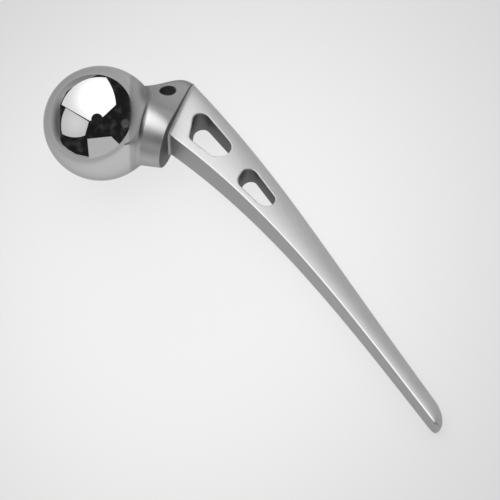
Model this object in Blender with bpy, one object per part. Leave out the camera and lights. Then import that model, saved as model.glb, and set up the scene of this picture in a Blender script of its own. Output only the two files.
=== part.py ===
"""Hip implant stem, one solid piece of polished cobalt-chrome alloy.

A ball head, a short oval neck that flares into a slanted collar, and a curved, tapering stem of D section
with two slots through it. A small hole through the shoulder takes an extraction hook.

The shape is drawn in its own frame, in metres: U runs from the ball's centre towards the stem, V runs
towards the shoulder and H runs across the thickness, so U and V span the plane of symmetry. At the end the
whole piece is laid down as it comes to rest on a flat surface.
"""

import math

import bmesh
import bpy
from mathutils import Matrix, Vector

MM = 0.001

# Ball head
HEAD_DIAMETER = 42.0 * MM

# Neck, a drop in section with its ridge on the lateral side; its lower outline flares out to the collar
NECK_HEIGHT = 31.6 * MM
NECK_WIDTH = 25.5 * MM
NECK_RIDGE_RADIUS = 5.0 * MM
NECK_LENGTH = 7.0 * MM
NECK_FLARE = math.radians(12.0)
NECK_BLEND = 1.6
NECK_ROOT_DEPTH = 8.3 * MM

# Collar: its flat underside is slanted and has a drop-shaped outline
COLLAR_ANGLE = math.radians(70.0)
COLLAR_RADIUS = 10.4 * MM
SHOULDER_RADIUS = 6.8 * MM
SHOULDER_RISE = 2.4 * MM
SHOULDER_CREST = 1.0 * MM
SHOULDER_EASE = 1.3
SHOULDER_BULGE = 5.8 * MM

# Stem, its lengths measured along the medial face
STEM_LENGTH = 141.0 * MM
STEM_OVERHANG = 9.0 * MM
STEM_START_ANGLE = math.radians(40.6)
STEM_END_ANGLE = math.radians(57.3)
STEM_BEND = 2.05
STEM_TURN = 3.6
STEM_END_WIDTH = 6.5 * MM
STEM_TAPER = 4.9 * MM
STEM_FLARE = 15.1 * MM
STEM_FLARE_POWER = 2.7
STEM_TOP_THICKNESS = 12.3 * MM
STEM_END_THICKNESS = 7.8 * MM
STEM_TOP_ROUNDNESS = 3.8
STEM_END_ROUNDNESS = 1.6
STEM_ROUNDNESS_FADE = 9.0
STEM_EDGE_RADIUS = 0.45 * MM
STEM_FILLET = 1.8 * MM

# Nose at the stem's end, which curves in from the lateral edge and ends blunt
NOSE_LENGTH = 10.4 * MM
NOSE_ROUNDING = 1.85
NOSE_BLUNTNESS = 8.0
NOSE_PIVOT = 0.15

# Upper slot: where it starts and how long it is, along the medial face, and the wall between it and that face
UPPER_SLOT_START = 5.6 * MM
UPPER_SLOT_LENGTH = 17.8 * MM
UPPER_SLOT_WALL = 4.1 * MM
UPPER_SLOT_WIDTH = 12.5 * MM
UPPER_SLOT_SLANT = 2.1 * MM
UPPER_SLOT_LATERAL_RADIUS = 3.1 * MM
UPPER_SLOT_MEDIAL_RADIUS = 2.6 * MM
UPPER_SLOT_END_RADIUS = 4.9 * MM

# Lower slot
LOWER_SLOT_START = 31.3 * MM
LOWER_SLOT_LENGTH = 16.6 * MM
LOWER_SLOT_WALL = 2.5 * MM
LOWER_SLOT_WIDTH = 8.9 * MM
LOWER_SLOT_SLANT = 0.4 * MM
LOWER_SLOT_LATERAL_RADIUS = 3.0 * MM
LOWER_SLOT_MEDIAL_RADIUS = 4.2 * MM
LOWER_SLOT_END_RADIUS = 3.5 * MM

# Extraction hole through the shoulder, placed from the collar's underside and the ball's axis
HOLE_DIAMETER = 6.0 * MM
HOLE_SETBACK = 6.7 * MM
HOLE_HEIGHT = 8.0 * MM

# How finely the surfaces are divided
BALL_SEGMENTS = 64
BALL_RINGS = 32
NECK_SECTIONS = 18
NECK_POINTS = 64
STEM_SECTIONS = 48
STEM_SIDE_POINTS = 16
STEM_EDGE_POINTS = 3
FILLET_SECTIONS = 5
NOSE_SECTIONS = 10
CORNER_POINTS = 24
OUTLINE_STEPS = 40
RESTING_STEPS = 60
SMOOTH_ANGLE = math.radians(30.0)


def direction(angle):
    """A unit vector in the plane of symmetry."""
    return Vector((math.cos(angle), math.sin(angle), 0.0))


def across_thickness(distance):
    return Vector((0.0, 0.0, distance))


def collar_foot():
    """Where the collar's underside crosses the ball's axis."""
    return Vector((HEAD_DIAMETER / 2 + NECK_LENGTH, 0.0, 0.0))


def collar_normal():
    """The way the collar's underside faces, towards the stem."""
    return direction(COLLAR_ANGLE - math.pi / 2)


def neck_start():
    """Where the neck leaves the ball, along its axis."""
    return math.sqrt((HEAD_DIAMETER / 2) ** 2 - (NECK_HEIGHT / 2) ** 2)


def medial_height(u):
    """V of the neck's lower outline."""
    return -NECK_HEIGHT / 2 - max(0.0, u - neck_start()) * math.tan(NECK_FLARE)


def lateral_height(u):
    """V of the ridge that runs from the neck over the shoulder."""
    neck_top = NECK_HEIGHT / 2
    crest = collar_foot().x + SHOULDER_CREST
    if u <= neck_start():
        return neck_top
    if u <= crest:
        share = ((u - neck_start()) / (crest - neck_start())) ** SHOULDER_EASE
        return neck_top + SHOULDER_RISE * (1 - math.cos(math.pi * share)) / 2
    return neck_top + SHOULDER_RISE - (u - crest) ** 2 / (2 * SHOULDER_BULGE)


def reach_outline(foot, along, height):
    """Distance from foot, in the direction along, to the outline that height describes."""
    low = 0.0
    high = HEAD_DIAMETER
    sign = 1.0 if along.y > 0 else -1.0
    for _ in range(OUTLINE_STEPS):
        middle = (low + high) / 2
        point = foot + along * middle
        if sign * (height(point.x) - point.y) > 0:
            low = middle
        else:
            high = middle
    return low


def drop_half_width(position, length, large, small):
    """Half width of a drop shape, a large and a small circle joined by tangents, along its length."""
    span = length - small - large
    tilt = math.asin((large - small) / span)
    if position <= large + large * math.sin(tilt):
        return math.sqrt(max(0.0, large ** 2 - (position - large) ** 2))
    if position >= large + span + small * math.sin(tilt):
        return math.sqrt(max(0.0, small ** 2 - (position - large - span) ** 2))
    return (large - (position - large) * math.sin(tilt)) / math.cos(tilt)


def neck_ring(share):
    """One section of the neck and collar, from inside the ball at 0 to the collar's underside at 1."""
    root = neck_start() - NECK_ROOT_DEPTH
    reach = collar_foot().x
    foot = Vector((root + (reach - root) * share, 0.0, 0.0))
    up = direction(math.pi / 2 + (COLLAR_ANGLE - math.pi / 2) * share)
    above = reach_outline(foot, up, lateral_height)
    below = reach_outline(foot, -up, medial_height)
    length = above + below
    progress = max(0.0, (foot.x - neck_start()) / (reach - neck_start()))
    blend = progress ** NECK_BLEND
    large = NECK_WIDTH / 2 + (COLLAR_RADIUS - NECK_WIDTH / 2) * blend
    small = NECK_RIDGE_RADIUS + (SHOULDER_RADIUS - NECK_RIDGE_RADIUS) * blend
    ring = []
    for index in range(NECK_POINTS):
        turn = 2 * math.pi * index / NECK_POINTS
        position = length * (1 - math.cos(turn)) / 2
        half = drop_half_width(position, length, large, small)
        side = 1.0 if turn < math.pi else -1.0
        ring.append(foot + up * (position - below) + across_thickness(side * half))
    return ring


def stem_angle(share):
    """Downward angle of the medial face at a share of the stem's length."""
    return STEM_END_ANGLE - (STEM_END_ANGLE - STEM_START_ANGLE) * (1 - share) ** STEM_BEND


def stem_across(share):
    """Direction from the medial face to the lateral edge: along the collar at the top, square further down."""
    square = math.pi / 2 - stem_angle(share)
    return direction(square + (COLLAR_ANGLE - square) * (1 - share) ** STEM_TURN)


def stem_width(share):
    return STEM_END_WIDTH + STEM_TAPER * (1 - share) + STEM_FLARE * (1 - share) ** STEM_FLARE_POWER


def medial_points():
    """The medial face's middle line, from the collar to where the nose starts."""
    up = direction(COLLAR_ANGLE)
    foot = collar_foot()
    below = reach_outline(foot, -up, medial_height)
    point = foot + up * (STEM_OVERHANG - below)
    points = [point]
    step = STEM_LENGTH / (STEM_SECTIONS - 1)
    for index in range(1, STEM_SECTIONS):
        point = point + direction(-stem_angle((index - 0.5) / (STEM_SECTIONS - 1))) * step
        points.append(point)
    return points


def stem_point(line, station, out):
    """A point of the plane of symmetry, from its station along the medial face and its distance from it."""
    share = station / STEM_LENGTH
    place = share * (STEM_SECTIONS - 1)
    index = min(STEM_SECTIONS - 2, int(place))
    base = line[index].lerp(line[index + 1], place - index)
    return base + stem_across(share) * out


def d_section(share):
    """The D section, as pairs of the distance from the medial face and the distance from the middle plane."""
    width = stem_width(share)
    half = (STEM_TOP_THICKNESS + (STEM_END_THICKNESS - STEM_TOP_THICKNESS) * share) / 2
    fade = (1 - share) ** STEM_ROUNDNESS_FADE
    roundness = STEM_END_ROUNDNESS + (STEM_TOP_ROUNDNESS - STEM_END_ROUNDNESS) * fade
    power = 2 / roundness
    edge = STEM_EDGE_RADIUS
    side = []
    for index in range(STEM_EDGE_POINTS):
        turn = math.pi / 2 * index / STEM_EDGE_POINTS
        side.append((edge - edge * math.cos(turn), half - edge + edge * math.sin(turn)))
    for index in range(STEM_SIDE_POINTS + 1):
        turn = math.pi / 2 * index / STEM_SIDE_POINTS
        out = edge + (width - edge) * math.sin(turn) ** power
        side.append((out, half * max(0.0, math.cos(turn)) ** power))
    return side + [(out, -across) for out, across in reversed(side[:-1])]


def grown(section, amount, width):
    """The section moved outwards by amount, fading to nothing at its lateral edge."""
    result = []
    for index, (out, across) in enumerate(section):
        before = Vector(section[index - 1])
        after = Vector(section[(index + 1) % len(section)])
        along = (after - before).normalized()
        move = amount * math.sqrt(max(0.0, 1 - out / width))
        result.append((out - along.y * move, across + along.x * move))
    return result


def placed(base, across, section):
    """The section's points in the drawing frame."""
    return [base + across * out + across_thickness(side) for out, side in section]


def root_rings(line):
    """The stem's root inside the collar, and the fillet beneath the collar."""
    across = stem_across(0.0)
    section = d_section(0.0)
    middle = stem_width(0.0) / 2
    root_scale = 0.8
    root = [(middle + (out - middle) * root_scale, side * root_scale) for out, side in section]
    rings = [placed(line[0] - collar_normal() * COLLAR_RADIUS / 2, across, root)]

    # The fillet is a quarter circle, cut short just before it lies flat against the collar
    flat_end = 0.12
    forward = (line[1] - line[0]).normalized()
    for index in range(FILLET_SECTIONS):
        turn = math.pi / 2 * (flat_end + (1 - flat_end) * index / FILLET_SECTIONS)
        drop = STEM_FILLET * (1 - math.cos(turn))
        share = drop / STEM_LENGTH
        section = grown(d_section(share), STEM_FILLET * (1 - math.sin(turn)), stem_width(share))
        rings.append(placed(line[0] + forward * drop, stem_across(share), section))
    return rings


def nose_rings(line):
    """The stem's rounded end."""
    forward = direction(-STEM_END_ANGLE)
    pivot = STEM_END_WIDTH * NOSE_PIVOT
    rings = []
    for index in range(1, NOSE_SECTIONS + 1):
        reach = math.sin(math.pi / 2 * index / (NOSE_SECTIONS + 0.5))
        lateral = (1 - reach ** NOSE_ROUNDING) ** (1 / NOSE_ROUNDING)
        blunt = math.sqrt(1 - reach ** NOSE_BLUNTNESS)
        section = []
        for out, side in d_section(1.0):
            scale = lateral if out > pivot else blunt
            section.append((pivot + (out - pivot) * scale, side * blunt))
        rings.append(placed(line[-1] + forward * NOSE_LENGTH * reach, stem_across(1.0), section))
    return rings


def stem_rings(line):
    """Sections of the stem between the fillet and the nose."""
    shares = [index / (STEM_SECTIONS - 1) for index in range(1, STEM_SECTIONS)]
    return [placed(base, stem_across(share), d_section(share)) for base, share in zip(line[1:], shares)]


def slot_corners(line, start, length, wall, width, slant, lateral_radius, medial_radius, end_radius):
    """The circles that a slot is wrapped round: two corners towards the collar and one round end."""
    return (
        (stem_point(line, start + lateral_radius, wall + width - lateral_radius), lateral_radius),
        (stem_point(line, start + slant + medial_radius, wall + medial_radius), medial_radius),
        (stem_point(line, start + length - end_radius, wall + end_radius), end_radius),
    )


def mesh_object(name, fill, collection):
    """A new object whose mesh is made by fill."""
    shape = bmesh.new()
    fill(shape)
    bmesh.ops.recalc_face_normals(shape, faces=shape.faces)
    mesh = bpy.data.meshes.new(name)
    shape.to_mesh(mesh)
    shape.free()
    item = bpy.data.objects.new(name, mesh)
    collection.objects.link(item)
    return item


def loft(rings):
    """A closed skin through rings of equal length, with flat ends."""
    def fill(shape):
        loops = [[shape.verts.new(point) for point in ring] for ring in rings]
        for first, second in zip(loops, loops[1:]):
            for index in range(len(first)):
                before = index - 1
                shape.faces.new((first[before], first[index], second[index], second[before]))
        shape.faces.new(loops[0])
        shape.faces.new(loops[-1])
    return fill


def ball(shape):
    bmesh.ops.create_uvsphere(shape, u_segments=BALL_SEGMENTS, v_segments=BALL_RINGS, radius=HEAD_DIAMETER / 2)


def belt(corners):
    """A straight cutter through the stem, wrapped round circles like a belt."""
    depth = across_thickness(STEM_TOP_THICKNESS)

    def fill(shape):
        for centre, radius in corners:
            for index in range(CORNER_POINTS):
                rim = centre + direction(2 * math.pi * index / CORNER_POINTS) * radius
                shape.verts.new(rim + depth)
                shape.verts.new(rim - depth)
        wrapped = bmesh.ops.convex_hull(shape, input=shape.verts)
        inner = {item for item in wrapped["geom_interior"] + wrapped["geom_unused"]
                 if isinstance(item, bmesh.types.BMVert)}
        bmesh.ops.delete(shape, geom=list(inner), context="VERTS")
        bmesh.ops.dissolve_limit(shape, angle_limit=math.radians(1.0), verts=shape.verts, edges=shape.edges)
    return fill


def drill(shape):
    """The cutter of the extraction hole."""
    centre = collar_foot() + direction(COLLAR_ANGLE) * HOLE_HEIGHT - collar_normal() * HOLE_SETBACK
    bmesh.ops.create_cone(
        shape, cap_ends=True, segments=2 * CORNER_POINTS, radius1=HOLE_DIAMETER / 2,
        radius2=HOLE_DIAMETER / 2, depth=2 * NECK_WIDTH, matrix=Matrix.Translation(centre))


def combine(target, tool, operation):
    """Joins tool to target or cuts it away, with a boolean that stays on the object."""
    step = target.modifiers.new(tool.name, "BOOLEAN")
    step.object = tool
    step.operation = operation
    step.solver = "EXACT"
    tool.hide_render = True
    tool.display_type = "WIRE"


def lowest(points, up):
    return min(points, key=lambda point: point.dot(up))


def resting_up(groups):
    """The upward direction once the piece lies on one point of each of three groups."""
    up = across_thickness(1.0)
    for _ in range(RESTING_STEPS):
        first, second, third = (lowest(points, up) for points in groups)
        normal = (second - first).cross(third - first).normalized()
        up = normal if normal.z > 0 else -normal
    return up


def lay_down(frame, ball_points, shoulder_points, nose_points):
    """Turns the drawing frame so that the piece rests on its ball, its shoulder and its nose."""
    up = resting_up((ball_points, shoulder_points, nose_points))
    nose = lowest(nose_points, up)
    lengthwise = (nose - up * nose.dot(up)).normalized()
    turn = Matrix((lengthwise, up.cross(lengthwise), up)).to_4x4()
    turned = [turn @ point for point in ball_points + shoulder_points + nose_points]
    middle_x = (min(point.x for point in turned) + max(point.x for point in turned)) / 2
    middle_y = (min(point.y for point in turned) + max(point.y for point in turned)) / 2
    floor = min(point.z for point in turned)
    frame.matrix_world = Matrix.Translation((-middle_x, -middle_y, -floor)) @ turn


def metal():
    """Polished cobalt-chrome alloy."""
    material = bpy.data.materials.new("cobalt_chrome")
    material.use_nodes = True
    shader = material.node_tree.nodes["Principled BSDF"]
    shader.inputs["Base Color"].default_value = (0.62, 0.62, 0.63, 1.0)
    shader.inputs["Metallic"].default_value = 1.0
    shader.inputs["Roughness"].default_value = 0.25
    return material


def clear_scene():
    for item in list(bpy.data.objects):
        bpy.data.objects.remove(item, do_unlink=True)


def build():
    clear_scene()
    parts = bpy.data.collections.new("hip_implant_stem")
    tools = bpy.data.collections.new("cutters")
    for collection in (parts, tools):
        bpy.context.scene.collection.children.link(collection)
    frame = bpy.data.objects.new("drawing_frame", None)
    tools.objects.link(frame)

    line = medial_points()
    neck_rings = [neck_ring(index / (NECK_SECTIONS - 1)) for index in range(NECK_SECTIONS)]
    body_rings = root_rings(line) + stem_rings(line)
    end_rings = nose_rings(line)
    upper_corners = slot_corners(
        line, UPPER_SLOT_START, UPPER_SLOT_LENGTH, UPPER_SLOT_WALL, UPPER_SLOT_WIDTH, UPPER_SLOT_SLANT,
        UPPER_SLOT_LATERAL_RADIUS, UPPER_SLOT_MEDIAL_RADIUS, UPPER_SLOT_END_RADIUS)
    lower_corners = slot_corners(
        line, LOWER_SLOT_START, LOWER_SLOT_LENGTH, LOWER_SLOT_WALL, LOWER_SLOT_WIDTH, LOWER_SLOT_SLANT,
        LOWER_SLOT_LATERAL_RADIUS, LOWER_SLOT_MEDIAL_RADIUS, LOWER_SLOT_END_RADIUS)

    stem = mesh_object("hip_stem", loft(body_rings + end_rings), parts)
    neck = mesh_object("neck_and_collar", loft(neck_rings), tools)
    head = mesh_object("ball_head", ball, tools)
    upper = mesh_object("upper_slot", belt(upper_corners), tools)
    lower = mesh_object("lower_slot", belt(lower_corners), tools)
    hole = mesh_object("extraction_hole", drill, tools)

    combine(stem, neck, "UNION")
    combine(stem, head, "UNION")
    combine(stem, upper, "DIFFERENCE")
    combine(stem, lower, "DIFFERENCE")
    combine(stem, hole, "DIFFERENCE")

    stem.data.materials.append(metal())
    for item in (stem, neck, head, upper, lower, hole):
        item.data.shade_smooth()
        item.data.set_sharp_from_angle(angle=SMOOTH_ANGLE)
        item.parent = frame

    ball_points = [vertex.co.copy() for vertex in head.data.vertices]
    shoulder_points = [point for ring in neck_rings + body_rings for point in ring]
    nose_points = [point for ring in end_rings for point in ring]
    lay_down(frame, ball_points, shoulder_points, nose_points)


build()
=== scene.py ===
"""Studio view of the hip implant stem: a dense copy of its solid, the metal, the floor and the light."""

import math

import bmesh
import bpy
from mathutils import Matrix, Vector
from mathutils.bvhtree import BVHTree


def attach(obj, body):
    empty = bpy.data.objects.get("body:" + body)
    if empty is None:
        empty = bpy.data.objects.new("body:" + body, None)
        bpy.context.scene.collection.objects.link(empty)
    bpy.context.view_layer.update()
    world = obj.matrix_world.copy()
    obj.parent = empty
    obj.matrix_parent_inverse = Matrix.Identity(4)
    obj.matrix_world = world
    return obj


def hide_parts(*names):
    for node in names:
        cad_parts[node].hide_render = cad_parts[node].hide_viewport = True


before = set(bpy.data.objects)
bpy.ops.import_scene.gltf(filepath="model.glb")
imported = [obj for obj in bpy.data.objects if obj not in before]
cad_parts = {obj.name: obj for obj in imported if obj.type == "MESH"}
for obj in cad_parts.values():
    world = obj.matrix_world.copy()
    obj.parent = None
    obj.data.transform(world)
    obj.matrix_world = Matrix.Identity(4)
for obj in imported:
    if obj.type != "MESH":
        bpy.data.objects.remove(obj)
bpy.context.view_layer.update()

MM = 0.001

# Sizes of the solid, as its source has them
HEAD_DIAMETER = 42.0 * MM
HEAD_RADIUS = HEAD_DIAMETER / 2
NECK_HEIGHT = 31.6 * MM
NECK_WIDTH = 25.5 * MM
NECK_RIDGE_RADIUS = 5.0 * MM
NECK_LENGTH = 7.0 * MM
NECK_FLARE = math.radians(12.0)
NECK_BLEND = 1.6
NECK_ROOT_DEPTH = 8.3 * MM
COLLAR_ANGLE = math.radians(70.0)
COLLAR_RADIUS = 10.4 * MM
SHOULDER_RADIUS = 6.8 * MM
SHOULDER_RISE = 2.4 * MM
SHOULDER_CREST = 1.0 * MM
SHOULDER_EASE = 1.3
SHOULDER_BULGE = 5.8 * MM
STEM_LENGTH = 141.0 * MM
STEM_OVERHANG = 9.0 * MM
STEM_START_ANGLE = math.radians(40.6)
STEM_END_ANGLE = math.radians(57.3)
STEM_BEND = 2.05
STEM_TURN = 3.6
STEM_END_WIDTH = 6.5 * MM
STEM_TAPER = 4.9 * MM
STEM_FLARE = 15.1 * MM
STEM_FLARE_POWER = 2.7
STEM_TOP_THICKNESS = 12.3 * MM
STEM_END_THICKNESS = 7.8 * MM
STEM_TOP_ROUNDNESS = 3.8
STEM_END_ROUNDNESS = 1.6
STEM_ROUNDNESS_FADE = 9.0
STEM_EDGE_RADIUS = 0.45 * MM
STEM_FILLET = 1.8 * MM
NOSE_LENGTH = 10.4 * MM
NOSE_ROUNDING = 1.85
NOSE_BLUNTNESS = 8.0
NOSE_PIVOT = 0.15
UPPER_SLOT_START = 5.6 * MM
UPPER_SLOT_LENGTH = 17.8 * MM
UPPER_SLOT_WALL = 4.1 * MM
UPPER_SLOT_WIDTH = 12.5 * MM
UPPER_SLOT_SLANT = 2.1 * MM
UPPER_SLOT_LATERAL_RADIUS = 3.1 * MM
UPPER_SLOT_MEDIAL_RADIUS = 2.6 * MM
UPPER_SLOT_END_RADIUS = 4.9 * MM
LOWER_SLOT_START = 31.3 * MM
LOWER_SLOT_LENGTH = 16.6 * MM
LOWER_SLOT_WALL = 2.5 * MM
LOWER_SLOT_WIDTH = 8.9 * MM
LOWER_SLOT_SLANT = 0.4 * MM
LOWER_SLOT_LATERAL_RADIUS = 3.0 * MM
LOWER_SLOT_MEDIAL_RADIUS = 4.2 * MM
LOWER_SLOT_END_RADIUS = 3.5 * MM
HOLE_DIAMETER = 6.0 * MM
HOLE_SETBACK = 6.7 * MM
HOLE_HEIGHT = 8.0 * MM
OUTLINE_STEPS = 40
RESTING_STEPS = 60

# Roundings that only the visible piece has
RIM_RADIUS = 0.45 * MM
COLLAR_RIM_RADIUS = 0.35 * MM
RIM_STEPS = 5
RIM_END = math.radians(75.0)
RIM_RUNOUT = 1.0 * MM
CREASE_RADIUS = 2.3 * MM
CREASE_SINK = 0.01 * MM
CREASE_STEPS = 8
SHARP_ANGLE = math.radians(30.0)

# How finely each mesh is divided: the solid's own division places it, the fine one is seen
SOLID = dict(segments=64, rings=32, neck_sections=18, neck_points=64, stem_sections=48, side=16, edge=3,
             fillet=5, nose=10)
FINE = dict(segments=192, rings=96, neck_sections=54, neck_points=192, stem_sections=170, side=34, edge=6,
            fillet=12, nose=34)
OUTLINE_POINTS = 160

# Marks on faces while the piece is cut: the cut walls get painted shade, the arrises a smoother finish and a
# painted highlight
PLAIN = 0
SHADE_PAINTED_FACE = 1
ARRIS = 2

# The photograph's camera, in the drawing frame: tilt of the line of sight from the thickness, and distances
VIEW_TILT = math.radians(33.0)
CAMERA_DISTANCE = 912.4 * MM
CAMERA_RIGHT = 54.42 * MM
CAMERA_DOWN = 46.24 * MM
SENSOR = 36.0
LENS = 180.0
CLIP_START = 0.05
CLIP_END = 20.0

# The finishes of the metal: roughness and tone. Some tones are painted light: the rim band, the shoulder, the
# recesses and the crease are darker to paint shade, and the arrises lighter to paint a highlight
ROUGHNESS = dict(mirror=0.025, rim=0.12, neck=0.34, shoulder=0.58, stem=0.51, arris=0.34)
TONE = dict(mirror=0.54, rim=0.38, neck=0.46, shoulder=0.27, stem=0.50, arris=0.54, painted_recess_shade=0.22, crease=0.23)
TINT = (1.0, 1.0, 1.01)
GRAZING_TINT = (0.62, 0.62, 0.62, 1.0)

# Where one finish or painted shade passes into the next: distances from the ball's centre towards the stem
MIRROR_EDGE = (0.50 * HEAD_RADIUS, 0.56 * HEAD_RADIUS)
ROUGHNESS_RISE = (0.52 * HEAD_RADIUS, 0.70 * HEAD_RADIUS)
TONE_RISE = (0.54 * HEAD_RADIUS, 0.76 * HEAD_RADIUS)
SHOULDER_START = (0.62 * HEAD_RADIUS, 0.76 * HEAD_RADIUS)
CREASE_SHADE_END = (0.80 * HEAD_RADIUS, 0.86 * HEAD_RADIUS)

# The same across the neck, round the crease and past the collar's underside
SHOULDER_FACING = math.radians(68.7)
SHOULDER_LIFT = (2.5 * MM, 9.0 * MM)
CREASE_SHADE_DEPTH = 0.5 * MM
CREASE_SHADE_REACH = 0.45 * MM
CREASE_SHADE_FOOT = (-14.5 * MM, -10.5 * MM)
STEM_FINISH_EASE = 0.4 * MM
UNDERSIDE_SHADE_DEPTH = 0.12 * MM
UNDERSIDE_SHADE_REACH = 0.22 * MM

# The brushing and the cloudiness of the finish, as noise
BRUSHING_ANGLE = math.radians(50.0)
BRUSHING_SCALE = (150.0, 2600.0, 2600.0)
BRUSHING_DETAIL = 3.0
BRUSHING_DEPTH = 0.02 * MM
BRUSHING_STRENGTH = dict(neck=0.25, stem=0.9)
BRUSHING_ROUGHNESS = 0.06
BRUSHING_TONE = 0.12
CLOUD_SCALE = 90.0
CLOUD_DETAIL = 4.0
CLOUD_ROUGHNESS = 0.08
CLOUD_ON_MIRROR = 0.01
CLOUD_TONE = 0.05

# The studio as a mirror ball shows it: places from the ball's centre, with its radius as 1
DARK_SIDE = dict(
    discs=(((-0.144, 0.166), 0.771),),
    corners=((0.60, -0.05), (0.50, -0.235), (0.348, -0.395), (-0.207, -0.579), (-0.43, -0.531),
             (-0.565, -0.45), (-0.66, -0.37), (-0.70, -0.29), (-0.70, 0.315), (-0.595, 0.533),
             (-0.525, 0.593), (-0.02, 0.857), (0.09, 0.881)),
)
LEFT_PANEL = dict(
    discs=(((-0.443, 0.205), 0.446), ((-0.081, -0.037), 0.602)),
    corners=((-0.60, 0.267), (-0.207, 0.026), (-0.274, -0.206)),
)
LOWER_PANEL = dict(
    discs=(),
    corners=((-0.234, -0.267), (0.178, -0.226), (0.382, -0.428), (0.32, -0.73), (-0.192, -0.73),
             (-0.234, -0.267)),
)
MAIN_PANEL = dict(
    discs=(((-0.017, 0.102), 0.693), ((-0.641, 0.264), 0.902)),
    corners=((0.262, 0.322), (0.037, 0.112), (-0.192, 0.043), (-0.672, 0.318)),
)
CAMERA_SPOT = (-0.065, 0.071, 0.0)
CAMERA_SPOT_RADIUS = 0.10

# Strengths of the studio's light
ROOM_HEIGHTS = (0.45, 0.95)
ROOM_LIGHT = (0.57, 0.32)
ROOM_DIMMING = dict(centre=(-0.70, 0.02), radii=(0.17, 0.50), edge=(0.35, 1.0), light=(0.3, 1.0))
MURK_SCALE = 7.0
MURK_DETAIL = 2.0
MURK_LEVELS = (0.45, 0.75)
DARK_SIDE_LIGHT = (0.02, 0.07)
FAINT_LAMP = dict(centre=(0.42, 0.0), radii=(0.09, 0.09), edge=(0.6, 1.0), light=(0.10, 0.0))
LEFT_GLOW = dict(centre=(-0.42, 0.02), radii=(0.40, 0.40), edge=(0.0, 1.0), light=(1.15, 0.85))
LOWER_PANEL_LIGHT = 0.78
MAIN_GLOW = dict(centre=(-0.04, 0.42), radii=(0.58, 0.58), edge=(0.0, 1.0), light=(2.75, 1.25))
CAMERA_SPOT_LIGHT = 0.03

# The floor, and the pool of light painted into its glow where the camera aims
FLOOR_REACH = 3.0
FLOOR_COLOUR = (0.78, 0.78, 0.775, 1.0)
FLOOR_ROUGHNESS = 0.6
FLOOR_SPECULAR = 0.2
PALE_SHARE = 0.85
POOL_RIGHT = 33.0 * MM
POOL_DOWN = 54.0 * MM
POOL_REACH = (0.03, 0.19)
POOL_LIGHT = (0.885, 0.60)

# The lamp at the side: its place to the camera's right, up and back, in metres
SIDE_LAMP_PLACE = (0.9, 0.25, 1.2)
SIDE_LAMP_POWER = 3.0
SIDE_LAMP_SIZE = 0.8


def direction(angle):
    """A unit vector in the plane of symmetry."""
    return Vector((math.cos(angle), math.sin(angle), 0.0))


def across_thickness(distance):
    return Vector((0.0, 0.0, distance))


def collar_foot():
    return Vector((HEAD_RADIUS + NECK_LENGTH, 0.0, 0.0))


def collar_normal():
    return direction(COLLAR_ANGLE - math.pi / 2)


def neck_start():
    return math.sqrt(HEAD_RADIUS ** 2 - (NECK_HEIGHT / 2) ** 2)


def medial_height(u):
    return -NECK_HEIGHT / 2 - max(0.0, u - neck_start()) * math.tan(NECK_FLARE)


def lateral_height(u):
    neck_top = NECK_HEIGHT / 2
    crest = collar_foot().x + SHOULDER_CREST
    if u <= neck_start():
        return neck_top
    if u <= crest:
        share = ((u - neck_start()) / (crest - neck_start())) ** SHOULDER_EASE
        return neck_top + SHOULDER_RISE * (1 - math.cos(math.pi * share)) / 2
    return neck_top + SHOULDER_RISE - (u - crest) ** 2 / (2 * SHOULDER_BULGE)


def reach_outline(foot, along, height):
    """The way from the foot, straight on, to the outline that the height function draws."""
    low = 0.0
    high = HEAD_DIAMETER
    sign = 1.0 if along.y > 0 else -1.0
    for _ in range(OUTLINE_STEPS):
        middle = (low + high) / 2
        point = foot + along * middle
        if sign * (height(point.x) - point.y) > 0:
            low = middle
        else:
            high = middle
    return low


def drop_half_width(position, length, large, small):
    """Half the width, at a position, of a drop made of a large circle, a small one and their tangents."""
    span = length - small - large
    tilt = math.asin((large - small) / span)
    if position <= large + large * math.sin(tilt):
        return math.sqrt(max(0.0, large ** 2 - (position - large) ** 2))
    if position >= large + span + small * math.sin(tilt):
        return math.sqrt(max(0.0, small ** 2 - (position - large - span) ** 2))
    return (large - (position - large) * math.sin(tilt)) / math.cos(tilt)


def neck_ring(share, points):
    """One section of the neck and collar, from inside the ball at 0 to the collar's underside at 1."""
    root = neck_start() - NECK_ROOT_DEPTH
    reach = collar_foot().x
    foot = Vector((root + (reach - root) * share, 0.0, 0.0))
    up = direction(math.pi / 2 + (COLLAR_ANGLE - math.pi / 2) * share)
    above = reach_outline(foot, up, lateral_height)
    below = reach_outline(foot, -up, medial_height)
    length = above + below
    progress = max(0.0, (foot.x - neck_start()) / (reach - neck_start()))
    blend = progress ** NECK_BLEND
    large = NECK_WIDTH / 2 + (COLLAR_RADIUS - NECK_WIDTH / 2) * blend
    small = NECK_RIDGE_RADIUS + (SHOULDER_RADIUS - NECK_RIDGE_RADIUS) * blend
    ring = []
    for index in range(points):
        turn = 2 * math.pi * index / points
        position = length * (1 - math.cos(turn)) / 2
        half = drop_half_width(position, length, large, small)
        side = 1.0 if turn < math.pi else -1.0
        ring.append(foot + up * (position - below) + across_thickness(side * half))
    return ring


def collar_rim(ring):
    """Rings that round the collar's edge, from just above its underside onto it."""
    normal = collar_normal()
    count = len(ring)
    rings = []
    for step in range(RIM_STEPS + 1):
        turn = math.pi / 2 * step / RIM_STEPS
        inset = COLLAR_RIM_RADIUS * (1 - math.cos(turn))
        back = COLLAR_RIM_RADIUS * (1 - math.sin(turn))
        moved = []
        for index, point in enumerate(ring):
            along = (ring[(index + 1) % count] - ring[index - 1]).normalized()
            inward = along.cross(normal)
            moved.append(point + inward * inset - normal * back)
        rings.append(moved)
    return rings


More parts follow.
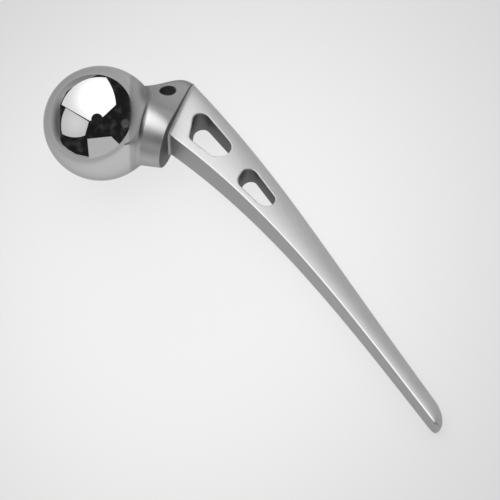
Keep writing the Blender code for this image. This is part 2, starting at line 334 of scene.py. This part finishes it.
def neck_leaves_ball(rings):
    """For each lengthwise line of the neck, where it leaves the ball and its outward direction there."""
    count = len(rings[0])
    result = []
    for index in range(count):
        step = next(step for step in range(1, len(rings)) if rings[step][index].length > HEAD_RADIUS)
        near = rings[step - 1][index]
        far = rings[step][index]
        point = near.lerp(far, (HEAD_RADIUS - near.length) / (far.length - near.length))
        around = rings[step][(index + 1) % count] - rings[step][index - 1]
        outward = around.cross(far - near).normalized()
        if outward.dot(Vector((0.0, point.y, point.z))) < 0:
            outward = -outward
        result.append((point, outward))
    return result


def crease_fillet(rings):
    """A bead whose hollow face rounds the crease between the ball and the neck."""
    sections = []
    for point, outward in neck_leaves_ball(rings):
        ball_outward = point.normalized()
        both = ball_outward + outward
        centre = point + both * CREASE_RADIUS / (1 + ball_outward.dot(outward))
        section = []
        for step in range(CREASE_STEPS + 1):
            towards = -ball_outward.lerp(outward, step / CREASE_STEPS).normalized()
            section.append(centre + towards * (CREASE_RADIUS + CREASE_SINK))
        section.append(point - both.normalized() * CREASE_RADIUS / 2)
        sections.append(section)
    return sections


def stem_angle(share):
    return STEM_END_ANGLE - (STEM_END_ANGLE - STEM_START_ANGLE) * (1 - share) ** STEM_BEND


def stem_across(share):
    square = math.pi / 2 - stem_angle(share)
    return direction(square + (COLLAR_ANGLE - square) * (1 - share) ** STEM_TURN)


def stem_width(share):
    return STEM_END_WIDTH + STEM_TAPER * (1 - share) + STEM_FLARE * (1 - share) ** STEM_FLARE_POWER


def medial_points(sections):
    """The line along the middle of the stem's medial face, with one point for each section."""
    up = direction(COLLAR_ANGLE)
    foot = collar_foot()
    below = reach_outline(foot, -up, medial_height)
    point = foot + up * (STEM_OVERHANG - below)
    points = [point]
    step = STEM_LENGTH / (sections - 1)
    for index in range(1, sections):
        point = point + direction(-stem_angle((index - 0.5) / (sections - 1))) * step
        points.append(point)
    return points


def stem_point(line, station, out):
    """The point at a station along the medial line and a distance out from it."""
    share = station / STEM_LENGTH
    place = share * (len(line) - 1)
    index = min(len(line) - 2, int(place))
    base = line[index].lerp(line[index + 1], place - index)
    return base + stem_across(share) * out


def d_section(share, side_points, edge_points):
    """The D section, as pairs of the distance from the medial face and the distance from the middle plane."""
    width = stem_width(share)
    half = (STEM_TOP_THICKNESS + (STEM_END_THICKNESS - STEM_TOP_THICKNESS) * share) / 2
    fade = (1 - share) ** STEM_ROUNDNESS_FADE
    roundness = STEM_END_ROUNDNESS + (STEM_TOP_ROUNDNESS - STEM_END_ROUNDNESS) * fade
    power = 2 / roundness
    edge = STEM_EDGE_RADIUS
    side = []
    for index in range(edge_points):
        turn = math.pi / 2 * index / edge_points
        side.append((edge - edge * math.cos(turn), half - edge + edge * math.sin(turn)))
    for index in range(side_points + 1):
        turn = math.pi / 2 * index / side_points
        out = edge + (width - edge) * math.sin(turn) ** power
        side.append((out, half * max(0.0, math.cos(turn)) ** power))
    return side + [(out, -across) for out, across in reversed(side[:-1])]


def grown(section, amount, width):
    """The section pushed outwards, by the amount at the medial face and less towards the lateral edge."""
    result = []
    for index, (out, across) in enumerate(section):
        before = Vector(section[index - 1])
        after = Vector(section[(index + 1) % len(section)])
        along = (after - before).normalized()
        move = amount * math.sqrt(max(0.0, 1 - out / width))
        result.append((out - along.y * move, across + along.x * move))
    return result


def placed(base, across, section):
    return [base + across * out + across_thickness(side) for out, side in section]


def root_rings(line, grid):
    across = stem_across(0.0)
    section = d_section(0.0, grid["side"], grid["edge"])
    middle = stem_width(0.0) / 2
    root_scale = 0.8
    root = [(middle + (out - middle) * root_scale, side * root_scale) for out, side in section]
    rings = [placed(line[0] - collar_normal() * COLLAR_RADIUS / 2, across, root)]
    flat_end = 0.12
    forward = (line[1] - line[0]).normalized()
    for index in range(grid["fillet"]):
        turn = math.pi / 2 * (flat_end + (1 - flat_end) * index / grid["fillet"])
        drop = STEM_FILLET * (1 - math.cos(turn))
        share = drop / STEM_LENGTH
        section = d_section(share, grid["side"], grid["edge"])
        section = grown(section, STEM_FILLET * (1 - math.sin(turn)), stem_width(share))
        rings.append(placed(line[0] + forward * drop, stem_across(share), section))
    return rings


def nose_rings(line, grid):
    forward = direction(-STEM_END_ANGLE)
    pivot = STEM_END_WIDTH * NOSE_PIVOT
    rings = []
    for index in range(1, grid["nose"] + 1):
        reach = math.sin(math.pi / 2 * index / (grid["nose"] + 0.5))
        lateral = (1 - reach ** NOSE_ROUNDING) ** (1 / NOSE_ROUNDING)
        blunt = math.sqrt(1 - reach ** NOSE_BLUNTNESS)
        section = []
        for out, side in d_section(1.0, grid["side"], grid["edge"]):
            scale = lateral if out > pivot else blunt
            section.append((pivot + (out - pivot) * scale, side * blunt))
        rings.append(placed(line[-1] + forward * NOSE_LENGTH * reach, stem_across(1.0), section))
    return rings


def stem_rings(line, grid):
    """Sections between the fillet and the nose, leaving out those that would lie inside the fillet."""
    count = len(line)
    rings = []
    for index in range(1, count):
        share = index / (count - 1)
        if share * STEM_LENGTH < STEM_FILLET:
            continue
        rings.append(placed(line[index], stem_across(share), d_section(share, grid["side"], grid["edge"])))
    return rings


def slot_corners(line, start, length, wall, width, slant, lateral_radius, medial_radius, end_radius):
    """The centre and radius of each round corner of a slot."""
    return (
        (stem_point(line, start + lateral_radius, wall + width - lateral_radius), lateral_radius),
        (stem_point(line, start + slant + medial_radius, wall + medial_radius), medial_radius),
        (stem_point(line, start + length - end_radius, wall + end_radius), end_radius),
    )


def convex_outline(points):
    """The points of the smallest convex outline round all the points, in order."""
    ordered = sorted({(point.x, point.y) for point in points})

    def half(run):
        chain = []
        for point in run:
            while len(chain) > 1:
                (x, y), (next_x, next_y) = chain[-2:]
                if (next_x - x) * (point[1] - y) > (next_y - y) * (point[0] - x):
                    break
                chain.pop()
            chain.append(point)
        return chain[:-1]

    return [Vector((x, y, 0.0)) for x, y in half(ordered) + half(reversed(ordered))]


def even_outline(outline, count):
    """The outline with its points spaced evenly."""
    ends = outline[1:] + outline[:1]
    step = sum((end - start).length for start, end in zip(outline, ends)) / count
    result = []
    walked = 0.0
    target = 0.0
    for start, end in zip(outline, ends):
        length = (end - start).length
        while target < walked + length and len(result) < count:
            result.append(start.lerp(end, (target - walked) / length))
            target += step
        walked += length
    return result


def belt_outline(corners):
    """The outline of a belt pulled tight round the corners' circles."""
    points = []
    for centre, radius in corners:
        for index in range(OUTLINE_POINTS):
            points.append(centre + direction(2 * math.pi * index / OUTLINE_POINTS) * radius)
    return even_outline(convex_outline(points), OUTLINE_POINTS)


def mesh_object(name, fill):
    """An object whose mesh is made by fill, with a slot for each mark."""
    shape = bmesh.new()
    fill(shape)
    bmesh.ops.recalc_face_normals(shape, faces=shape.faces)
    mesh = bpy.data.meshes.new(name)
    shape.to_mesh(mesh)
    shape.free()
    for _ in (PLAIN, SHADE_PAINTED_FACE, ARRIS):
        mesh.materials.append(None)
    item = bpy.data.objects.new(name, mesh)
    bpy.context.scene.collection.objects.link(item)
    return item


def loft(rings, wall=None, arris=0):
    """Faces from ring to ring, with a cap on the first and the last.

    The faces after the wall ring are marked, and so are the arrises at the start and end of each ring.
    """
    def fill(shape):
        loops = [[shape.verts.new(point) for point in ring] for ring in rings]
        for step, (first, second) in enumerate(zip(loops, loops[1:])):
            for index in range(len(first)):
                before = index - 1
                face = shape.faces.new((first[before], first[index], second[index], second[before]))
                if step == wall:
                    face.material_index = SHADE_PAINTED_FACE
                elif 0 < index <= arris or index >= len(first) - arris:
                    face.material_index = ARRIS
        shape.faces.new(loops[0])
        shape.faces.new(loops[-1])
    return fill


def closed_loft(rings):
    """Faces from ring to ring and from the last back to the first."""
    def fill(shape):
        loops = [[shape.verts.new(point) for point in ring] for ring in rings]
        for step, second in enumerate(loops):
            first = loops[step - 1]
            for index in range(len(first)):
                before = index - 1
                shape.faces.new((first[before], first[index], second[index], second[before]))
    return fill


def ball(grid):
    def fill(shape):
        bmesh.ops.create_uvsphere(shape, u_segments=grid["segments"], v_segments=grid["rings"],
                                  radius=HEAD_RADIUS)
    return fill


def surface_height(tree, point, side):
    """Distance from the middle plane to the skin at a point, on one side."""
    reach = NECK_WIDTH
    hit = tree.ray_cast(point + across_thickness(side * reach), Vector((0.0, 0.0, -side)))
    return abs(hit[0].z)


def rim_profile(radius):
    """How far a cutter's mouth flares out and rises over the skin, from its wall outwards."""
    profile = []
    for step in range(RIM_STEPS + 1):
        turn = RIM_END * step / RIM_STEPS
        profile.append((radius * (1 - math.cos(turn)), -radius * (1 - math.sin(turn))))
    away, rise = profile[-1]
    profile.append((away + RIM_RUNOUT * math.sin(RIM_END), rise + RIM_RUNOUT * math.cos(RIM_END)))
    return profile


def rounding_cutter(tree, outline, radius):
    """A cutter through the piece whose mouths flare, so that it leaves rounded rims."""
    count = len(outline)
    outward = []
    for index in range(count):
        along = (outline[(index + 1) % count] - outline[index - 1]).normalized()
        outward.append(Vector((along.y, -along.x, 0.0)))
    halves = []
    for side in (1.0, -1.0):
        wall = [surface_height(tree, point, side) for point in outline]
        beyond = [surface_height(tree, point + out * radius, side) for point, out in zip(outline, outward)]
        slopes = [(far - near) / radius for near, far in zip(wall, beyond)]
        rings = []
        for away, rise in rim_profile(radius):
            ring = []
            for point, out, height, slope in zip(outline, outward, wall, slopes):
                ring.append(point + out * away + across_thickness(side * (height + slope * away + rise)))
            rings.append(ring)
        rings.append([Vector((point.x, point.y, side * NECK_WIDTH)) for point in rings[-1]])
        halves.append(rings)
    return loft(list(reversed(halves[1])) + halves[0], wall=len(halves[1]) - 1)


def reshape(target, tools, operation, name):
    """Join the tools to the target, or cut them out of it, and delete them."""
    for tool in tools:
        step = target.modifiers.new(tool.name, "BOOLEAN")
        step.object = tool
        step.operation = operation
        step.solver = "EXACT"
    bpy.context.view_layer.update()
    graph = bpy.context.evaluated_depsgraph_get()
    mesh = bpy.data.meshes.new_from_object(target.evaluated_get(graph))
    mesh.name = name
    target.modifiers.clear()
    target.data = mesh
    for tool in tools:
        bpy.data.objects.remove(tool, do_unlink=True)


def lowest(points, up):
    return min(points, key=lambda point: point.dot(up))


def resting_place():
    """The matrix that lays the drawing frame down on the floor, worked out from the solid's own points."""
    line = medial_points(SOLID["stem_sections"])
    sphere = bmesh.new()
    ball(SOLID)(sphere)
    ball_points = [vertex.co.copy() for vertex in sphere.verts]
    sphere.free()
    sections = SOLID["neck_sections"]
    neck_rings = [neck_ring(index / (sections - 1), SOLID["neck_points"]) for index in range(sections)]
    body_rings = root_rings(line, SOLID) + stem_rings(line, SOLID)
    shoulder_points = [point for ring in neck_rings + body_rings for point in ring]
    nose_points = [point for ring in nose_rings(line, SOLID) for point in ring]
    up = across_thickness(1.0)
    for _ in range(RESTING_STEPS):
        first, second, third = (lowest(points, up) for points in (ball_points, shoulder_points, nose_points))
        normal = (second - first).cross(third - first).normalized()
        up = normal if normal.z > 0 else -normal
    nose = lowest(nose_points, up)
    lengthwise = (nose - up * nose.dot(up)).normalized()
    turn = Matrix((lengthwise, up.cross(lengthwise), up)).to_4x4()
    turned = [turn @ point for point in ball_points + shoulder_points + nose_points]
    middle_x = (min(point.x for point in turned) + max(point.x for point in turned)) / 2
    middle_y = (min(point.y for point in turned) + max(point.y for point in turned)) / 2
    foot = min(point.z for point in turned)
    return Matrix.Translation((-middle_x, -middle_y, -foot)) @ turn


def whole_piece(line):
    """The stem, joined with the neck, the ball and the fillet between those two."""
    sections = FINE["neck_sections"]
    neck_rings = [neck_ring(index / (sections - 1), FINE["neck_points"]) for index in range(sections)]
    stem_sections = root_rings(line, FINE) + stem_rings(line, FINE) + nose_rings(line, FINE)
    stem = mesh_object("implant", loft(stem_sections, arris=FINE["edge"]))
    neck = mesh_object("neck_form", loft(neck_rings[:-1] + collar_rim(neck_rings[-1])))
    head = mesh_object("ball_form", ball(FINE))
    crease = mesh_object("crease_form", closed_loft(crease_fillet(neck_rings)))
    reshape(stem, (neck, head, crease), "UNION", "implant_whole")
    return stem


def cut_openings(piece, line):
    """Cut the two slots and the extraction hole, with rounded rims."""
    shape = bmesh.new()
    shape.from_mesh(piece.data)
    tree = BVHTree.FromBMesh(shape)
    shape.free()
    upper = slot_corners(line, UPPER_SLOT_START, UPPER_SLOT_LENGTH, UPPER_SLOT_WALL, UPPER_SLOT_WIDTH,
                         UPPER_SLOT_SLANT, UPPER_SLOT_LATERAL_RADIUS, UPPER_SLOT_MEDIAL_RADIUS,
                         UPPER_SLOT_END_RADIUS)
    lower = slot_corners(line, LOWER_SLOT_START, LOWER_SLOT_LENGTH, LOWER_SLOT_WALL, LOWER_SLOT_WIDTH,
                         LOWER_SLOT_SLANT, LOWER_SLOT_LATERAL_RADIUS, LOWER_SLOT_MEDIAL_RADIUS,
                         LOWER_SLOT_END_RADIUS)
    hole_centre = collar_foot() + direction(COLLAR_ANGLE) * HOLE_HEIGHT - collar_normal() * HOLE_SETBACK
    cutters = []
    for name, corners in (("upper", upper), ("lower", lower), ("hole", ((hole_centre, HOLE_DIAMETER / 2),))):
        cutter = rounding_cutter(tree, belt_outline(corners), RIM_RADIUS)
        cutters.append(mesh_object(name + "_cutter", cutter))
    reshape(piece, cutters, "DIFFERENCE", "implant_mesh")


def note_marks(mesh):
    """Keep the faces' marks as attributes, which the metal reads to paint shade on the cut walls and a
    highlight on the arrises.
    """
    painted_recess_shade = mesh.attributes.new("painted_recess_shade", "FLOAT", "FACE")
    arris = mesh.attributes.new("arris", "FLOAT", "FACE")
    for face in mesh.polygons:
        painted_recess_shade.data[face.index].value = 1.0 if face.material_index == SHADE_PAINTED_FACE else 0.0
        arris.data[face.index].value = 1.0 if face.material_index == ARRIS else 0.0
        face.material_index = PLAIN


def fine_piece():
    """The dense, visible piece."""
    line = medial_points(FINE["stem_sections"])
    piece = whole_piece(line)
    cut_openings(piece, line)
    note_marks(piece.data)
    piece.data.shade_smooth()
    piece.data.set_sharp_from_angle(angle=SHARP_ANGLE)
    return piece


def node(tree, kind, **settings):
    item = tree.nodes.new(kind)
    for name, value in settings.items():
        setattr(item, name, value)
    return item


def feed(tree, item, sockets, values):
    """Link or set each socket, and leave those without a value."""
    for socket, value in zip(sockets, values):
        if isinstance(value, bpy.types.NodeSocket):
            tree.links.new(value, socket)
        elif value is not None:
            socket.default_value = value
    return item


def math_node(tree, operation, first, second=None, third=None):
    item = node(tree, "ShaderNodeMath", operation=operation)
    return feed(tree, item, item.inputs, (first, second, third)).outputs[0]


def vector_node(tree, operation, first, second=None, output=0):
    item = node(tree, "ShaderNodeVectorMath", operation=operation)
    return feed(tree, item, item.inputs, (first, second)).outputs[output]


def dot(tree, place, axis):
    return vector_node(tree, "DOT_PRODUCT", place, tuple(axis), output=1)


def mixed(tree, factor, first, second):
    """Number between first and second by factor."""
    item = node(tree, "ShaderNodeMix", data_type="FLOAT")
    sockets = (item.inputs[0], item.inputs[2], item.inputs[3])
    return feed(tree, item, sockets, (factor, first, second)).outputs[0]


def eased(tree, value, low, high, first=0.0, last=1.0):
    """A number that goes smoothly from first, where the value is low, to last, where it is high."""
    item = node(tree, "ShaderNodeMapRange", interpolation_type="SMOOTHSTEP")
    return feed(tree, item, item.inputs, (value, low, high, first, last)).outputs[0]


def joined(tree, parts):
    item = node(tree, "ShaderNodeCombineXYZ")
    return feed(tree, item, item.inputs, parts).outputs[0]


def mapped(tree, place, setting, value):
    """The place, turned or stretched."""
    item = node(tree, "ShaderNodeMapping", vector_type="POINT")
    item.inputs[setting].default_value = value
    return feed(tree, item, item.inputs, (place,)).outputs[0]


def noise(tree, place, scale, detail):
    item = node(tree, "ShaderNodeTexNoise")
    item.inputs["Scale"].default_value = scale
    item.inputs["Detail"].default_value = detail
    return feed(tree, item, (item.inputs["Vector"],), (place,)).outputs[0]


def drawing_place(tree, lying):
    """A point's coordinates in the drawing frame, measured from the ball's centre."""
    spot = node(tree, "ShaderNodeTexCoord").outputs["Object"]
    from_ball = vector_node(tree, "SUBTRACT", spot, tuple(lying.translation))
    return joined(tree, [dot(tree, from_ball, axis) for axis in lying.to_3x3().transposed()])


def finish_and_painted_light_areas(tree, place):
    """Where each finish, painted shade and painted highlight holds, as numbers from 0 to 1."""
    axial = dot(tree, place, (1.0, 0.0, 0.0))
    past_collar = dot(tree, place, collar_normal())
    underside = collar_foot().dot(collar_normal())

    # Painted highlight, beside a real smoother finish: the arrises get a lighter tone
    arris = node(tree, "ShaderNodeAttribute", attribute_name="arris").outputs["Fac"]
    past_fillet = eased(tree, past_collar, underside + STEM_FILLET, underside + 2 * STEM_FILLET)
    # Painted shade: the cut walls of the slots and the hole, and a thin band on the collar's underside, are
    # darkened
    painted_recess_shade = node(tree, "ShaderNodeAttribute", attribute_name="painted_recess_shade").outputs["Fac"]
    shade_middle = underside + UNDERSIDE_SHADE_DEPTH
    under_collar = math_node(tree, "COMPARE", past_collar, shade_middle, UNDERSIDE_SHADE_REACH)
    # Painted shade, beside a real rougher finish: the upper part of the neck towards the shoulder gets a
    # darker tone
    lift = eased(tree, dot(tree, place, direction(SHOULDER_FACING)), *SHOULDER_LIFT)

    # Painted shade: a darker ring on the neck next to the ball, in the crease
    beyond_ball = vector_node(tree, "LENGTH", place, output=1)
    crease = math_node(tree, "COMPARE", beyond_ball, HEAD_RADIUS + CREASE_SHADE_DEPTH, CREASE_SHADE_REACH)
    crease = math_node(tree, "MULTIPLY", crease, eased(tree, axial, *CREASE_SHADE_END, 1.0, 0.0))
    crease_foot = eased(tree, dot(tree, place, (0.0, 1.0, 0.0)), *CREASE_SHADE_FOOT)
    return dict(
        axial=axial,
        satin=eased(tree, axial, *MIRROR_EDGE),
        stem=eased(tree, past_collar, underside - STEM_FINISH_EASE, underside),
        shoulder=math_node(tree, "MULTIPLY", lift, eased(tree, axial, *SHOULDER_START)),
        arris=math_node(tree, "MULTIPLY", arris, past_fillet),
        painted_recess_shade=math_node(tree, "MAXIMUM", painted_recess_shade, under_collar),
        crease=math_node(tree, "MULTIPLY", crease, crease_foot),
    )


def metal(lying):
    """Cobalt-chrome alloy: a ball polished to a mirror, and satin neck and stem with fine marks."""
    material = bpy.data.materials.new("implant_metal")
    material.use_nodes = True
    tree = material.node_tree
    shader = tree.nodes["Principled BSDF"]
    shader.inputs["Metallic"].default_value = 1.0
    shader.inputs["Specular Tint"].default_value = GRAZING_TINT

    place = drawing_place(tree, lying)
    area = finish_and_painted_light_areas(tree, place)
    turned = mapped(tree, place, "Rotation", (0.0, 0.0, BRUSHING_ANGLE))
    brushing = noise(tree, mapped(tree, turned, "Scale", BRUSHING_SCALE), 1.0, BRUSHING_DETAIL)
    cloud = noise(tree, place, CLOUD_SCALE, CLOUD_DETAIL)

    rough = eased(tree, area["axial"], *ROUGHNESS_RISE, ROUGHNESS["rim"], ROUGHNESS["neck"])
    rough = mixed(tree, area["shoulder"], rough, ROUGHNESS["shoulder"])
    rough = mixed(tree, area["stem"], rough, ROUGHNESS["stem"])
    rough = math_node(tree, "MULTIPLY_ADD", cloud, CLOUD_ROUGHNESS, rough)
    rough = math_node(tree, "MULTIPLY_ADD", brushing, BRUSHING_ROUGHNESS, rough)
    rough = mixed(tree, area["arris"], rough, ROUGHNESS["arris"])
    polish = math_node(tree, "MULTIPLY_ADD", cloud, CLOUD_ON_MIRROR, ROUGHNESS["mirror"])
    tree.links.new(mixed(tree, area["satin"], polish, rough), shader.inputs["Roughness"])

    # Painted shade: a darker band on the ball just past the mirror, easing into the neck's tone
    tone = eased(tree, area["axial"], *TONE_RISE, TONE["rim"], TONE["neck"])
    # Painted shade: the shoulder is darker
    tone = mixed(tree, area["shoulder"], tone, TONE["shoulder"])
    tone = mixed(tree, area["stem"], tone, TONE["stem"])
    tone = math_node(tree, "MULTIPLY_ADD", cloud, CLOUD_TONE, tone)
    # Painted shade: darker in the slots, the hole and under the collar
    tone = mixed(tree, area["painted_recess_shade"], tone, TONE["painted_recess_shade"])
    uneven = math_node(tree, "SUBTRACT", brushing, 0.5)
    tone = math_node(tree, "MULTIPLY_ADD", uneven, BRUSHING_TONE, tone)
    # Painted highlight: the arrises are lighter
    tone = mixed(tree, area["arris"], tone, TONE["arris"])
    # Painted shade: darker in the crease next to the ball
    tone = mixed(tree, area["crease"], tone, TONE["crease"])
    tone = mixed(tree, area["satin"], TONE["mirror"], tone)
    colour = node(tree, "ShaderNodeCombineColor")
    feed(tree, colour, colour.inputs, [math_node(tree, "MULTIPLY", tone, tint) for tint in TINT])
    tree.links.new(colour.outputs[0], shader.inputs["Base Color"])

    bump = node(tree, "ShaderNodeBump")
    bump.inputs["Distance"].default_value = BRUSHING_DEPTH
    strength = mixed(tree, area["stem"], BRUSHING_STRENGTH["neck"], BRUSHING_STRENGTH["stem"])
    tree.links.new(math_node(tree, "MULTIPLY", area["satin"], strength), bump.inputs["Strength"])
    tree.links.new(brushing, bump.inputs["Height"])
    tree.links.new(bump.outputs[0], shader.inputs["Normal"])
    return material


def round_distance(tree, across, up, centre, radii):
    """Distance from the centre of an oval, 1 on its outline."""
    wide = math_node(tree, "DIVIDE", math_node(tree, "SUBTRACT", across, centre[0]), radii[0])
    tall = math_node(tree, "DIVIDE", math_node(tree, "SUBTRACT", up, centre[1]), radii[1])
    total = math_node(tree, "MULTIPLY_ADD", wide, wide, math_node(tree, "MULTIPLY", tall, tall))
    return math_node(tree, "SQRT", total)


def oval(tree, across, up, centre, radii, edge, light):
    """A strength that goes from first to last over the edge, which is given as shares of the oval's radii."""
    return eased(tree, round_distance(tree, across, up, centre, radii), *edge, *light)


def inside(tree, across, up, discs, corners):
    """1 inside every disc and on the right of each line from corner to corner, 0 elsewhere."""
    result = 1.0
    for centre, radius in discs:
        away = round_distance(tree, across, up, centre, (radius, radius))
        result = math_node(tree, "MULTIPLY", result, math_node(tree, "LESS_THAN", away, 1.0))
    for (x, y), (next_x, next_y) in zip(corners, corners[1:]):
        side = math_node(tree, "MULTIPLY", across, next_y - y)
        side = math_node(tree, "MULTIPLY_ADD", up, x - next_x, side)
        side = math_node(tree, "GREATER_THAN", side, x * next_y - next_x * y)
        result = math_node(tree, "MULTIPLY", result, side)
    return result


def studio_world(right, up, back):
    """A pale room with a dark side behind the camera, where one bright and two grey panels hang.

    A direction is placed by the spot on a mirror ball where the camera would see it: right and up from the
    ball's centre, with the ball's radius as 1.
    """
    world = bpy.data.worlds.new("studio")
    bpy.context.scene.world = world
    world.use_nodes = True
    tree = world.node_tree
    background = tree.nodes["Background"]
    towards = node(tree, "ShaderNodeTexCoord").outputs["Generated"]
    spot = vector_node(tree, "NORMALIZE", vector_node(tree, "ADD", towards, tuple(back)))
    across = dot(tree, spot, right)
    above = dot(tree, spot, up)
    place = joined(tree, (across, above))

    room = eased(tree, above, *ROOM_HEIGHTS, *ROOM_LIGHT)
    room = math_node(tree, "MULTIPLY", room, oval(tree, across, above, **ROOM_DIMMING))
    gloom = eased(tree, noise(tree, place, MURK_SCALE, MURK_DETAIL), *MURK_LEVELS, *DARK_SIDE_LIGHT)
    light = mixed(tree, inside(tree, across, above, **DARK_SIDE), room, gloom)
    light = math_node(tree, "ADD", light, oval(tree, across, above, **FAINT_LAMP))

    panels = (
        (LEFT_PANEL, oval(tree, across, above, **LEFT_GLOW)),
        (LOWER_PANEL, LOWER_PANEL_LIGHT),
        (MAIN_PANEL, oval(tree, across, above, **MAIN_GLOW)),
    )
    for panel, strength in panels:
        light = mixed(tree, inside(tree, across, above, **panel), light, strength)
    from_camera = vector_node(tree, "DISTANCE", place, CAMERA_SPOT, output=1)
    on_camera = math_node(tree, "LESS_THAN", from_camera, CAMERA_SPOT_RADIUS)
    light = mixed(tree, on_camera, light, CAMERA_SPOT_LIGHT)
    tree.links.new(light, background.inputs["Strength"])
    background.inputs["Color"].default_value = (1.0, 1.0, 1.0, 1.0)


def floor(middle):
    """A wide pale floor, brightest round the middle, where a pool of light is painted into its glow."""
    mesh = bpy.data.meshes.new("floor")
    shape = bmesh.new()
    bmesh.ops.create_grid(shape, x_segments=1, y_segments=1, size=FLOOR_REACH)
    shape.to_mesh(mesh)
    shape.free()
    item = bpy.data.objects.new("floor", mesh)
    bpy.context.scene.collection.objects.link(item)
    material = bpy.data.materials.new("floor_paint")
    material.use_nodes = True
    tree = material.node_tree
    shader = tree.nodes["Principled BSDF"]
    shader.inputs["Base Color"].default_value = FLOOR_COLOUR
    shader.inputs["Roughness"].default_value = FLOOR_ROUGHNESS
    shader.inputs["Specular IOR Level"].default_value = FLOOR_SPECULAR
    mesh.materials.append(material)

    # The camera and the metal see mostly a pale glow with a painted pool of light, and for the rest the lit
    # floor with its shadow
    path = node(tree, "ShaderNodeLightPath")
    seen = math_node(tree, "ADD", path.outputs["Is Camera Ray"], path.outputs["Is Glossy Ray"])
    seen = math_node(tree, "ADD", seen, path.outputs["Is Transmission Ray"])
    spot = node(tree, "ShaderNodeTexCoord").outputs["Object"]
    away = vector_node(tree, "DISTANCE", spot, tuple(middle), output=1)
    pale = node(tree, "ShaderNodeEmission")
    tree.links.new(eased(tree, away, *POOL_REACH, *POOL_LIGHT), pale.inputs["Strength"])
    blend = node(tree, "ShaderNodeMixShader")
    feed(tree, blend, blend.inputs,
         (math_node(tree, "MULTIPLY", seen, PALE_SHARE), shader.outputs[0], pale.outputs[0]))
    tree.links.new(blend.outputs[0], tree.nodes["Material Output"].inputs[0])


def side_lamp(target, source):
    """A wide soft lamp that lights the floor but isn't mirrored in the metal."""
    lamp = bpy.data.lights.new("side_lamp", "AREA")
    lamp.energy = SIDE_LAMP_POWER
    lamp.shape = "DISK"
    lamp.size = SIDE_LAMP_SIZE
    item = bpy.data.objects.new("side_lamp", lamp)
    item.location = source
    item.rotation_mode = "QUATERNION"
    item.rotation_quaternion = (target - source).to_track_quat("-Z", "Y")
    item.visible_glossy = False
    bpy.context.scene.collection.objects.link(item)


def camera(place, right, up, back):
    data = bpy.data.cameras.new("camera")
    data.sensor_width = SENSOR
    data.lens = LENS
    data.clip_start = CLIP_START
    data.clip_end = CLIP_END
    item = bpy.data.objects.new("camera", data)
    bpy.context.scene.collection.objects.link(item)
    item.matrix_world = Matrix.Translation(place) @ Matrix((right, up, back)).transposed().to_4x4()
    bpy.context.scene.camera = item


def seen_on_floor(point, viewer):
    """The place on the floor that the viewer sees behind or before a point."""
    return point - (viewer - point) * (point.z / (viewer.z - point.z))


lying = resting_place()
piece = fine_piece()
piece.data.transform(lying)
piece.data.materials.clear()
piece.data.materials.append(metal(lying))
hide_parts("hip_stem")
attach(piece, "root")

# The camera's own axes, first in the drawing frame and then as the piece lies
turn = lying.to_3x3()
view_axes = (
    Vector((1.0, 0.0, 0.0)),
    Vector((0.0, math.cos(VIEW_TILT), math.sin(VIEW_TILT))),
    Vector((0.0, -math.sin(VIEW_TILT), math.cos(VIEW_TILT))),
)
view_right, view_up, view_back = (turn @ axis for axis in view_axes)
ball_place = lying.translation
camera_place = ball_place + view_right * CAMERA_RIGHT - view_up * CAMERA_DOWN + view_back * CAMERA_DISTANCE
camera(camera_place, view_right, view_up, view_back)

towards_camera = (camera_place - ball_place).normalized()
ball_right = (view_right - towards_camera * view_right.dot(towards_camera)).normalized()
studio_world(ball_right, towards_camera.cross(ball_right), towards_camera)
pool_aim = ball_place + view_right * POOL_RIGHT - view_up * POOL_DOWN
floor(seen_on_floor(pool_aim, camera_place))
lamp_right, lamp_up, lamp_back = SIDE_LAMP_PLACE
side_lamp(Vector((0.0, 0.0, 0.0)), view_right * lamp_right + view_up * lamp_up + view_back * lamp_back)

bpy.context.scene.view_settings.view_transform = "Standard"
